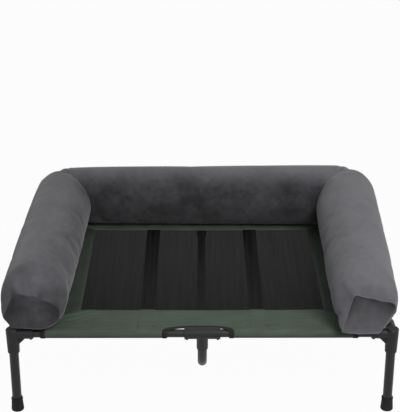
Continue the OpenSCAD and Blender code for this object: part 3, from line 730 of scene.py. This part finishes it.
# Bolster
# One stuffed tube of short-pile velvet runs round three sides of the cot, mitred at the back corners and
# closed by a sewn panel at each front end. Its filling is loose polyester fibre, so it is plump and lumpy.
back_low, back_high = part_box("bolster_cover_back")
arm_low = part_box("bolster_cover_left")[0]
seam_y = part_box("bolster_end_left")[1].y
BOLSTER_FLAT = 6 * MM
bolster_r = (back_high.z - back_low.z + BOLSTER_FLAT) / 2
bolster_z = back_low.z
axis_z = back_high.z - bolster_r
arm_x = -arm_low.x - bolster_r
# The back lies a little behind its place
BACK_OUT = 6 * MM
back_y = back_high.y - bolster_r + BACK_OUT
# How much fuller each tube is in its middle than at its ends
SWELL = 2 * MM
# The back corners turn on a radius at the centre line and on a crease inside, and the mitre draws them in
CORNER_R = 26 * MM
CREASE_R = 6 * MM
MITRE_DRAW = 9 * MM
MITRE_SPREAD = math.radians(15)
MITRE_TOP = 0.25
# The end panels are sunk behind their seams, crowned in the middle, and lean back towards their tops
PANEL_DIP = 3 * MM
END_CROWN = {"left": 4 * MM, "right": 1.5 * MM}
END_LEAN = {"left": 2 * MM, "right": 13 * MM}
# The tube is rounded down to its end seam over more of its length above than below
DOME_HIGH = 66 * MM
DOME_LOW = 12 * MM
DOME_POWER = 1.9
# Rings on each stretch: the panel's as shares of the way to its seam, then the dome, an arm, a corner and
# half of the back
PANEL_SHARES = (0.1, 0.3, 0.52, 0.72, 0.86, 0.94, 0.98)
PANEL_COUNT = len(PANEL_SHARES)
DOME_RINGS = 13
ARM_RINGS = 62
CORNER_RINGS = 19
BACK_RINGS = 41
# The bolster lies a little askew and is unevenly stuffed: how far each arm stands outwards, and how much
# fuller it is, at its front end and at its back corner
ARM_OUT = {"left": (2 * MM, -7 * MM), "right": (-12 * MM, 8 * MM)}
ARM_FULL = {"left": (1 * MM, 2 * MM), "right": (0, 7 * MM)}
BACK_FULL = 2 * MM
# The right end reaches further forward than the left one
END_Y = {"left": seam_y + 16 * MM, "right": seam_y - 1 * MM}
COLUMNS = 76
angle = np.arange(COLUMNS) / COLUMNS * math.tau
# Corners of the end seams, inwards from the arm's middle and up from its axis, in millimetres: the panels
# are sewn in by hand and pull the tube out of round, each in its own way.
END_SEAMS = {"left": [(-41, 25), (4, 13), (42, 0), (61, -15), (59, -40), (28, -64), (-50, -63), (-68, -34)],
             "right": [(29, 23), (-67, 1), (-63, -14), (-31, -68), (58, -68)]}
# Stands in for nothing where something is divided by it
NEARLY_NONE = 1e-9


def end_outline(corners):
    """The middle of the corners, and the end seam at each angle, inwards and up: where a ray from that middle
    meets the straight edges between them, with the corners eased."""
    corners = np.array(corners) * MM
    middle = corners.mean(axis=0)
    start = corners - middle
    edge = np.roll(start, -1, axis=0) - start
    ray = np.stack([np.cos(angle), np.sin(angle)], axis=-1)
    across = ray[:, None, 0] * edge[:, 1] - ray[:, None, 1] * edge[:, 0]
    across = np.where(np.abs(across) < NEARLY_NONE, NEARLY_NONE, across)
    reach = (start[:, 0] * edge[:, 1] - start[:, 1] * edge[:, 0]) / across
    share = (start[:, 0] * ray[:, None, 1] - start[:, 1] * ray[:, None, 0]) / across
    reach = np.where((share >= 0) & (share <= 1) & (reach > 0), reach, 0).max(axis=1)
    eased = (np.roll(reach, 1) + 2 * reach + np.roll(reach, -1)) / 4
    return middle, middle + eased[:, None] * ray


def tube_section(r):
    """The round tube, pressed flat below, as inwards and height at each angle."""
    return r * np.cos(angle), np.maximum(axis_z + r * np.sin(angle), bolster_z)


def half_bolster(side):
    """Rings of points from one end's panel to the middle of the back, as they lie on the left. A strand that
    lies d inside the centre line turns the corner on a radius that shrinks with d, so the corner is round
    outside and creased inside."""
    (front_out, back_out), (front_full, back_full) = ARM_OUT[side], ARM_FULL[side]
    end_y = END_Y[side]
    middle, seam = end_outline(END_SEAMS[side])
    seam_d, seam_up = seam.T
    d, z = tube_section(bolster_r - SWELL + front_full)
    rings = []

    def leaning(up):
        """How far back the end lies at a height."""
        return END_LEAN[side] * (up - seam_up.min()) / np.ptp(seam_up)

    for share in PANEL_SHARES:
        flat_d, flat_up = (middle + share * (seam - middle)).T
        sunk = PANEL_DIP * (1 - share ** 6) - END_CROWN[side] * (1 - share ** 2)
        rings.append(np.stack([flat_d - arm_x - front_out, end_y + leaning(flat_up) + sunk,
                               axis_z + flat_up], axis=-1))
    dome = DOME_LOW + (DOME_HIGH - DOME_LOW) * (1 + np.sin(angle)) / 2
    for share in np.linspace(0, 1, DOME_RINGS):
        out = 1 - (1 - share) ** DOME_POWER
        rings.append(np.stack([seam_d + (d - seam_d) * out - arm_x - front_out,
                               end_y + leaning(seam_up) + dome * share,
                               axis_z + seam_up + (z - axis_z - seam_up) * out], axis=-1))
    dome = dome + leaning(seam_up) + end_y - seam_y
    for t in np.linspace(0, 1, ARM_RINGS + 2)[1:-1]:
        full = front_full + (back_full - front_full) * t
        d, z = tube_section(bolster_r - SWELL + SWELL * math.sin(math.pi * t) + full)
        turn_in = d + np.maximum(CORNER_R - d, CREASE_R)
        y = seam_y + dome + (back_y - turn_in - seam_y - dome) * t
        rings.append(np.stack([d - arm_x - front_out - (back_out - front_out) * t, y, z], axis=-1))
    inside = (1 + np.cos(angle)) / 2 + MITRE_TOP * np.clip(np.sin(angle), 0, 1)
    for turn in np.linspace(0, QUARTER, CORNER_RINGS):
        drawn_in = MITRE_DRAW * math.exp(-((turn - QUARTER / 2) / MITRE_SPREAD) ** 2) * inside
        d, z = tube_section(bolster_r - SWELL - drawn_in + back_full)
        radius = np.maximum(CORNER_R - d, CREASE_R)
        rings.append(np.stack([d + radius - radius * math.cos(turn) - arm_x - back_out,
                               back_y - d - radius + radius * math.sin(turn), z], axis=-1))
    for t in np.linspace(0, 0.5, BACK_RINGS + 1)[1:]:
        full = back_full + (BACK_FULL - back_full) * 2 * t
        d, z = tube_section(bolster_r - SWELL + SWELL * math.sin(math.pi * t) + full)
        half = arm_x - d - np.maximum(CORNER_R - d, CREASE_R)
        rings.append(np.stack([-half + 2 * half * t - back_out * (1 - 2 * t), back_y - d, z], axis=-1))
    return np.stack(rings)


left_rings = half_bolster("left")
right_rings = half_bolster("right") * np.array([-1, 1, 1])
rings = np.concatenate([left_rings, right_rings[-2::-1]])
tube_faces = grid_faces(*rings.shape[:2], closed=True)[:, ::-1]
last = rings.shape[0] * COLUMNS
spoke = np.arange(COLUMNS)
following = (spoke + 1) % COLUMNS
start_fan = np.stack([spoke, following, np.full(COLUMNS, last)], axis=-1)
end_fan = np.stack([following, spoke, np.full(COLUMNS, last + 1)], axis=-1)
end_fan[:, :2] += last - COLUMNS
poles = np.stack([rings[0].mean(axis=0), rings[-1].mean(axis=0)])
points = np.concatenate([rings.reshape(-1, 3), poles])
# The widths of a stroked cloud and a ruffled tuft, and how much each adds to the nap or takes from it
CLOUD, CLOUD_NAP = 85 * MM, 0.16
TUFT, TUFT_NAP = 16 * MM, 0.08
# The real pile is finer than can show, so its grain is drawn 1.4 mm wide
PILE, PILE_DEPTH = 1.4 * MM, 0.25 * MM


def pile_velvet(name, darkest_tone, pale):
    """Velvet whose tone follows the piece's own nap value, from 0, darkest, to 1, palest; that value carries
    painted light and shade as well as the nap. Clouds a hand wide show where it was stroked and tufts a
    finger wide where it is ruffled, and the pile itself is a fine grain in relief."""
    material, tree = new_material(name)
    place = add(tree, "TexCoord").outputs["Object"]
    share = add(tree, "Attribute", attribute_name="nap_and_shade").outputs["Fac"]
    for width, detail, most in ((CLOUD, 5.0, CLOUD_NAP), (TUFT, 3.0, TUFT_NAP)):
        noise = add(tree, "TexNoise", {"Vector": place, "Scale": 1 / width, "Detail": detail}).outputs["Fac"]
        uneven = add(tree, "MapRange", {"Value": noise, **MIDDLE_NOISE, "To Min": -most, "To Max": most})
        share = add(tree, "Math", {0: share, 1: uneven.outputs["Result"]}, operation="ADD").outputs["Value"]
    tone = add(tree, "MixRGB", {"Fac": share, "Color1": linear(darkest_tone), "Color2": linear(pale)})
    pile = add(tree, "TexNoise", {"Vector": place, "Scale": 1 / PILE, "Detail": 2.0}).outputs["Fac"]
    relief = add(tree, "Bump", {"Height": pile, "Distance": PILE_DEPTH})
    surface(tree, Base_Color=tone.outputs["Color"], Normal=relief.outputs["Normal"], Roughness=0.9,
            Specular_IOR_Level=0.25, Sheen_Weight=0.25, Sheen_Roughness=0.5)
    return material


# Short-pile velvet is soft and matt, and paler at its rims from its sheen. Its tone is set per point by the
# nap value, which carries painted light and shade as well as the nap.
velvet = pile_velvet("short_pile_velvet", "#2c2c2f", "#6e6e73")
bolster = new_piece("velvet_bolster", points, tube_faces, velvet, "bolster",
                    start_fan.tolist() + end_fan.tolist())
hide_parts("bolster_cover_left", "bolster_cover_back", "bolster_cover_right", "bolster_end_left",
            "bolster_end_right", "bolster_core_left", "bolster_core_back", "bolster_core_right")


def coordinates(mesh):
    """The places of a mesh's vertices."""
    places = np.empty(len(mesh.vertices) * 3)
    mesh.vertices.foreach_get("co", places)
    return places.reshape(-1, 3)


STUFFING_STEPS = 20
STUFFING_PRESSURE = 4
# A negative shrinkage lets the cover stretch by this share
COVER_SHRINKS = -0.03


def stuff(piece, held):
    """Presses the cover out from inside, as its filling does, with its sewn points held still, and gives how
    far each point moved."""
    start = coordinates(piece.data)
    group = piece.vertex_groups.new(name="sewn")
    group.add(held.tolist(), 1.0, "REPLACE")
    cloth = piece.modifiers.new("stuffing", "CLOTH")
    cloth.settings.vertex_group_mass = "sewn"
    cloth.settings.use_pressure = True
    cloth.settings.uniform_pressure_force = STUFFING_PRESSURE
    cloth.settings.shrink_min = COVER_SHRINKS
    cloth.settings.effector_weights.gravity = 0
    cloth.collision_settings.use_collision = False
    cloth.point_cache.frame_end = STUFFING_STEPS
    for stuffing_step in range(1, STUFFING_STEPS + 1):
        bpy.context.scene.frame_set(stuffing_step)
    swollen = coordinates(piece.evaluated_get(bpy.context.evaluated_depsgraph_get()).data)
    piece.modifiers.remove(cloth)
    piece.vertex_groups.remove(group)
    bpy.context.scene.frame_set(1)
    return swollen - start


def grid_normals(grid):
    """Outward directions of a closed grid of rings."""
    across = np.roll(grid, -1, axis=1) - np.roll(grid, 1, axis=1)
    direction = np.cross(across, np.gradient(grid, axis=0))
    return direction / np.maximum(np.linalg.norm(direction, axis=-1, keepdims=True), NEARLY_NONE)


def slow_part(values, rows):
    """A running mean of each strand over a number of rings."""
    padded = np.pad(values, ((rows // 2, rows - 1 - rows // 2), (0, 0)), mode="edge")
    total = np.cumsum(np.pad(padded, ((1, 0), (0, 0))), axis=0)
    return (total[rows:] - total[:-rows]) / rows


def lay_nap_and_shade(piece, nap_and_shade):
    """Stores the nap value at each point of the cover, with the painted light and shade it carries."""
    lie = piece.data.attributes.new("nap_and_shade", "FLOAT", "POINT")
    lie.data.foreach_set("value", nap_and_shade.astype(np.float32).ravel())


def near_angle(degrees, width):
    """1 at an angle round the tube, falling to nothing over a width in degrees."""
    away = (np.degrees(angle) - degrees + 180) % 360 - 180
    return np.exp(-(away / width) ** 2)


def patches(*places):
    """Patches round the tube added up, each as its strength, its angle and its width in degrees."""
    return sum(strength * near_angle(degrees, width) for strength, degrees, width in places)


# The arms get a base tone, with painted light that pales them towards the right, and painted shade on the
# inner face of the U, most of all on the back's inner face and towards its right end.
ARM_NAP = 0.69
RIGHT_PAINTED_LIGHT = 0.27
INNER_PAINTED_SHADE = 0.27
BACK_PAINTED_SHADE, BACK_RIGHT_PAINTED_SHADE = 0.32, 0.34
# The inner face goes round the tube by the cosine to its middle, and the change to the right is slow
INNER_ANGLE = math.radians(-8)
INNER_FROM, INNER_FADE = 0.42, 0.9
RIGHT_FADE = 0.7
# The back's part of it starts in front of the back's axis and ends inside the arms' axes
BACK_REACH, BACK_FADE = 1.35 * bolster_r, 60 * MM
ARM_REACH, ARM_FADE = 0.55 * bolster_r, 70 * MM
behind_arms = step(rings[..., 1] - back_y + BACK_REACH, BACK_FADE)
between_arms = step(arm_x - ARM_REACH - np.abs(rings[..., 0]), ARM_FADE)
inner_face = step(np.cos(angle - INNER_ANGLE) - INNER_FROM, INNER_FADE)
to_right = step(rings[..., 0], RIGHT_FADE)
back_painted_shade = (BACK_PAINTED_SHADE + BACK_RIGHT_PAINTED_SHADE * to_right ** 2) * behind_arms * between_arms
# Painted light to the right, painted shade on the inner face and more on the back
nap_and_shade = ARM_NAP + RIGHT_PAINTED_LIGHT * to_right - inner_face * (INNER_PAINTED_SHADE + back_painted_shade)
# On the slack left end panel: a dark base tone, with painted light in the middle and at the top, and painted
# shade at both sides.
SLACK_NAP, SLACK_MIDDLE_PAINTED_LIGHT = 0.12, 0.22
from_middle = np.array(PANEL_SHARES)[:, None]
slack_nap_and_shade = SLACK_NAP + SLACK_MIDDLE_PAINTED_LIGHT * (1 - from_middle ** 2) + patches((0.1, 90, 35))
nap_and_shade[:PANEL_COUNT] = slack_nap_and_shade - from_middle * patches((0.22, 12, 32), (0.12, 172, 28))
# On the right one painted light pales it downwards, and painted shade darkens a band along its seam, most on
# its inner side, at its outer top corner and along its top.
RIGHT_PANEL_NAP, RIGHT_PANEL_PAINTED_LIGHT = 0.28, 0.5
SEAM_FROM, SEAM_FADE = 0.76, 0.4
height = rings[-PANEL_COUNT:, :, 2]
right_panel_nap_and_light = RIGHT_PANEL_NAP + RIGHT_PANEL_PAINTED_LIGHT * (height.max() - height) / np.ptp(height)
seam_shade_share = step(from_middle[::-1] - SEAM_FROM, SEAM_FADE)
nap_and_shade[-PANEL_COUNT:] = right_panel_nap_and_light - seam_shade_share * patches((0.42, 12, 34), (0.3, 152, 14), (0.16, 95, 40))
# Painted shade over the top of each end, in the creases where the tube is gathered into the seam, with darker
# painted puckers at the left.
CREASE_SHADE_RINGS = 4
left_crease_shade = patches((0.2, 90, 50), (0.4, 136, 9), (0.34, 68, 14), (0.3, 18, 10))
right_crease_shade = patches((0.14, 90, 50))
for ring in range(CREASE_SHADE_RINGS):
    fading = 1 - ring / CREASE_SHADE_RINGS
    nap_and_shade[PANEL_COUNT + ring] -= fading * left_crease_shade
    nap_and_shade[-1 - PANEL_COUNT - ring] -= fading * right_crease_shade
# The last two are the middles of the left panel and of the right one, toned to match the painted light and
# shade round them
POLE_NAP = (0.25, 0.5)
lay_nap_and_shade(bolster, np.concatenate([nap_and_shade.ravel(), POLE_NAP]))
# The seams, the mitres' inner sides and the strip that rests on the cot are held while the cover is stuffed
REST_SINE = -0.86
CREASE_COSINE = -0.3
number = np.arange(last).reshape(rings.shape[:2])
mitre_row = PANEL_COUNT + DOME_RINGS + ARM_RINGS + CORNER_RINGS // 2
mitre_rows = [mitre_row, len(rings) - 1 - mitre_row]
seam_rows = [PANEL_COUNT, len(rings) - 1 - PANEL_COUNT]
at_rest = np.sin(angle) < REST_SINE
at_crease = np.cos(angle) > CREASE_COSINE
held = np.concatenate([number[seam_rows].ravel(), number[:, at_rest].ravel(),
                       number[mitre_rows][:, at_crease].ravel()])
MOST_MOVE = 8 * MM
# Swelling that goes on over this many rings is taken out again
SLOW_RINGS = 37
# The right end's panel is pulled tight, the left end's is slack
PANEL_SLACK = {"left": 0.7, "right": 0.08}
# Folds lie on the inner sides of the U, where the tube turns, and are flatter outside
INNER_FOLDS = 0.6
OUTER_FOLDS = 0.3
FOLDS_FROM, FOLDS_FADE = -0.25, 0.9
# The tube keeps its round section: only the folds and dents of the stuffing stay, not its slow swelling.
moved = stuff(bolster, np.unique(held))[:last].reshape(rings.shape)
outwards = grid_normals(rings)
swelling = (moved * outwards).sum(axis=-1)
moved = moved - outwards * slow_part(swelling, SLOW_RINGS)[..., None]
size = np.linalg.norm(moved, axis=-1, keepdims=True)
moved = moved * np.minimum(1, MOST_MOVE / np.maximum(size, NEARLY_NONE))
folded = OUTER_FOLDS + (INNER_FOLDS - OUTER_FOLDS) * step(np.cos(angle) - FOLDS_FROM, FOLDS_FADE)
moved *= folded[None, :, None]
moved[:PANEL_COUNT] *= PANEL_SLACK["left"]
moved[-PANEL_COUNT:] *= PANEL_SLACK["right"]
rings = rings + moved


def spot(side, row, degrees):
    """The point on the cover at a ring, counted from that side's end panel, and an angle round the tube."""
    return rings[row if side == "left" else -1 - row, round(degrees / 360 * COLUMNS) % COLUMNS]


def pressed(start, end, depth, width):
    """How deep the cover is drawn in along a line between two points, fading from its start to its end."""
    line = end - start
    share = np.clip(((rings - start) @ line) / (line @ line), 0, 1)
    away = np.linalg.norm(rings - start - share[..., None] * line, axis=-1)
    return depth * (1 - share ** 2) * np.exp(-(away / width) ** 2)


# Gathers run from the corners of each end seam, up over the tube's rounded end and into the panel, as side,
# ring and angle of both ends, depth and width in millimetres.
SEAM = PANEL_COUNT
GATHERS = [("left", SEAM, 134, SEAM + 8, 128, 6, 8), ("left", SEAM, 92, SEAM + 9, 96, 8, 9),
           ("left", SEAM, 23, SEAM + 8, 34, 7, 8), ("left", SEAM, 60, SEAM + 5, 64, 4, 7),
           ("left", SEAM, 112, SEAM + 5, 110, 4, 6), ("left", SEAM, 188, SEAM + 6, 180, 4, 8),
           ("left", SEAM, 330, SEAM + 5, 340, 3, 7), ("left", SEAM, 92, 2, 70, 5, 8),
           ("left", SEAM, 134, 3, 150, 4, 9), ("left", SEAM, 23, 3, 0, 5, 8),
           ("left", SEAM, 280, 3, 270, 3, 9),
           ("right", SEAM, 49, SEAM + 9, 44, 7, 8), ("right", SEAM, 144, SEAM + 8, 150, 5, 8),
           ("right", SEAM, 171, SEAM + 6, 175, 3, 7), ("right", SEAM, 95, SEAM + 6, 98, 3, 9),
           ("right", SEAM, 325, SEAM + 6, 340, 4, 8), ("right", SEAM + 3, 120, SEAM + 13, 152, 2.5, 7),
           ("right", SEAM, 49, 4, 40, 3, 8)]
outwards = grid_normals(rings)
drawn = sum(pressed(spot(side, row, turn), spot(side, far_row, far_turn), depth * MM, width * MM)
            for side, row, turn, far_row, far_turn, depth, width in GATHERS)
# The end seams themselves are pulled in a little all round
SEAM_PULL = 2.5 * MM
for seam_row in seam_rows:
    drawn[seam_row] += SEAM_PULL
# The gathers pull the tube's rim inwards rather than back, so its edge stays even from the side
RIM_BACK = 0.3
RIM_RINGS, RIM_FADE = 3.5, 5
from_seam = np.abs(np.arange(len(rings))[:, None] - np.array(seam_rows)).min(axis=1)
back_share = RIM_BACK + (1 - RIM_BACK) * step(from_seam - RIM_RINGS, RIM_FADE)
inwards = outwards * np.stack([np.ones(len(rings)), back_share, np.ones(len(rings))], axis=-1)[:, None]
rings = rings - inwards * drawn[..., None]
bolster.data.vertices.foreach_set("co", np.concatenate([rings.reshape(-1, 3), poles]).ravel())
bolster.data.update()
rounded = bolster.modifiers.new("smooth_cover", "SUBSURF")
rounded.levels = 1
rounded.render_levels = 1


ROLL_COLUMNS = 8


def roll(path, radius):
    """A thin closed roll round a loop of points, as rings of points round the path."""
    ahead = np.roll(path, -1, axis=0) - np.roll(path, 1, axis=0)
    ahead = ahead / np.linalg.norm(ahead, axis=1, keepdims=True)
    beside = np.cross(ahead, np.array([0, 1, 0]))
    beside = beside / np.linalg.norm(beside, axis=1, keepdims=True)
    above = np.cross(beside, ahead)
    turn = np.arange(ROLL_COLUMNS)[None, :, None] / ROLL_COLUMNS * math.tau
    points = path[:, None] + radius * (np.cos(turn) * beside[:, None] + np.sin(turn) * above[:, None])
    faces = grid_faces(len(path) + 1, ROLL_COLUMNS, closed=True)[:, ::-1]
    return np.concatenate([points, points[:1]]), faces


# The seam allowance of the tight right panel stands up as a thin welt round it, in the palest tone all round:
# a painted highlight along the seam.
WELT = 1.5 * MM
WELT_OUT = 0.4 * WELT
welt_row = seam_rows[1]
welt_points, welt_faces = roll(rings[welt_row] + WELT_OUT * outwards[welt_row], WELT)
welt = new_piece("end_seam_welt", welt_points, welt_faces, velvet, "bolster")
weld(welt)
# Painted highlight: the welt takes the palest velvet tone
lay_nap_and_shade(welt, np.full(welt_points.shape[:2], 1.0))


# Stage
# A plain white floor and backdrop, a wide soft light overhead and a weak fill, as on a white product sweep.
# The sweep is only a pale grey to the light that bounces off it, so that it doesn't light the cot from below.
def seen_rays(tree):
    """1 for rays that show the sweep itself: to the camera, in a reflection or through something clear."""
    rays = add(tree, "LightPath").outputs
    seen = add(tree, "Math", {0: rays["Is Camera Ray"], 1: rays["Is Glossy Ray"]}, operation="MAXIMUM")
    seen = add(tree, "Math", {0: seen.outputs["Value"], 1: rays["Is Transmission Ray"]}, operation="MAXIMUM")
    return seen.outputs["Value"]


FLOOR = 12.0
WHITE = (1, 1, 1, 1)
# What is left of the floor's own shade, so that the cot's shadow shows
FLOOR_WHITE = 0.97
FILL_LIGHT = 0.34
floor_corners = [(x * FLOOR, y * FLOOR, 0) for x, y in ((-1, -1), (1, -1), (1, 1), (-1, 1))]
floor_mesh = bpy.data.meshes.new("floor")
floor_mesh.from_pydata(floor_corners, [], [(0, 1, 2, 3)])
floor = bpy.data.objects.new("floor", floor_mesh)
bpy.context.scene.collection.objects.link(floor)
paper, tree = new_material("white_paper")
shade = add(tree, "BsdfPrincipled", {"Base Color": linear("#8c8c8c"), "Roughness": 0.9})
glow = add(tree, "Emission", {"Color": WHITE, "Strength": 1.0})
mostly = add(tree, "Math", {0: seen_rays(tree), 1: FLOOR_WHITE}, operation="MULTIPLY").outputs["Value"]
blend = add(tree, "MixShader", {0: mostly, 1: shade.outputs["BSDF"], 2: glow.outputs["Emission"]})
add(tree, "OutputMaterial", {"Surface": blend.outputs["Shader"]})
floor_mesh.materials.append(paper)

world = bpy.data.worlds.new("studio")
bpy.context.scene.world = world
world.use_nodes = True
tree = world.node_tree
tree.nodes.clear()
fill = add(tree, "Background", {"Color": WHITE, "Strength": FILL_LIGHT}).outputs["Background"]
sweep = add(tree, "Background", {"Color": WHITE, "Strength": 1.0}).outputs["Background"]
blend = add(tree, "MixShader", {0: seen_rays(tree), 1: fill, 2: sweep})
add(tree, "OutputWorld", {"Surface": blend.outputs["Shader"]})


def soft_box(name, place, target, size, power):
    """A square area light that faces a target."""
    light = bpy.data.lights.new(name, "AREA")
    light.shape = "SQUARE"
    light.size = size
    light.energy = power
    lamp = bpy.data.objects.new(name, light)
    bpy.context.scene.collection.objects.link(lamp)
    x, y, z = np.array(place) - np.array(target)
    lamp.location = place
    lamp.rotation_euler = (math.atan2(math.hypot(x, y), z), 0, math.atan2(x, -y))


soft_box("overhead", place=(1.1, -2.0, 2.4), target=(0.0, 0.0, 0.2), size=1.3, power=52)

# The camera stands where the photograph was taken from.
PHOTO_LONG_SIDE = 412
FOCAL_PIXELS = 1182.3
CAMERA_PLACE = (-0.0109, -2.7323, 1.5739)
CAMERA_DOWN = math.radians(23.47)
CAMERA_RIGHT = math.radians(0.13)
eye = bpy.data.cameras.new("photo_view")
eye.sensor_width = 36
eye.lens = FOCAL_PIXELS * eye.sensor_width / PHOTO_LONG_SIDE
camera = bpy.data.objects.new("photo_view", eye)
camera.location = CAMERA_PLACE
camera.rotation_euler = (QUARTER - CAMERA_DOWN, 0, -CAMERA_RIGHT)
bpy.context.scene.collection.objects.link(camera)
bpy.context.scene.camera = camera
bpy.context.scene.view_settings.view_transform = "Standard"
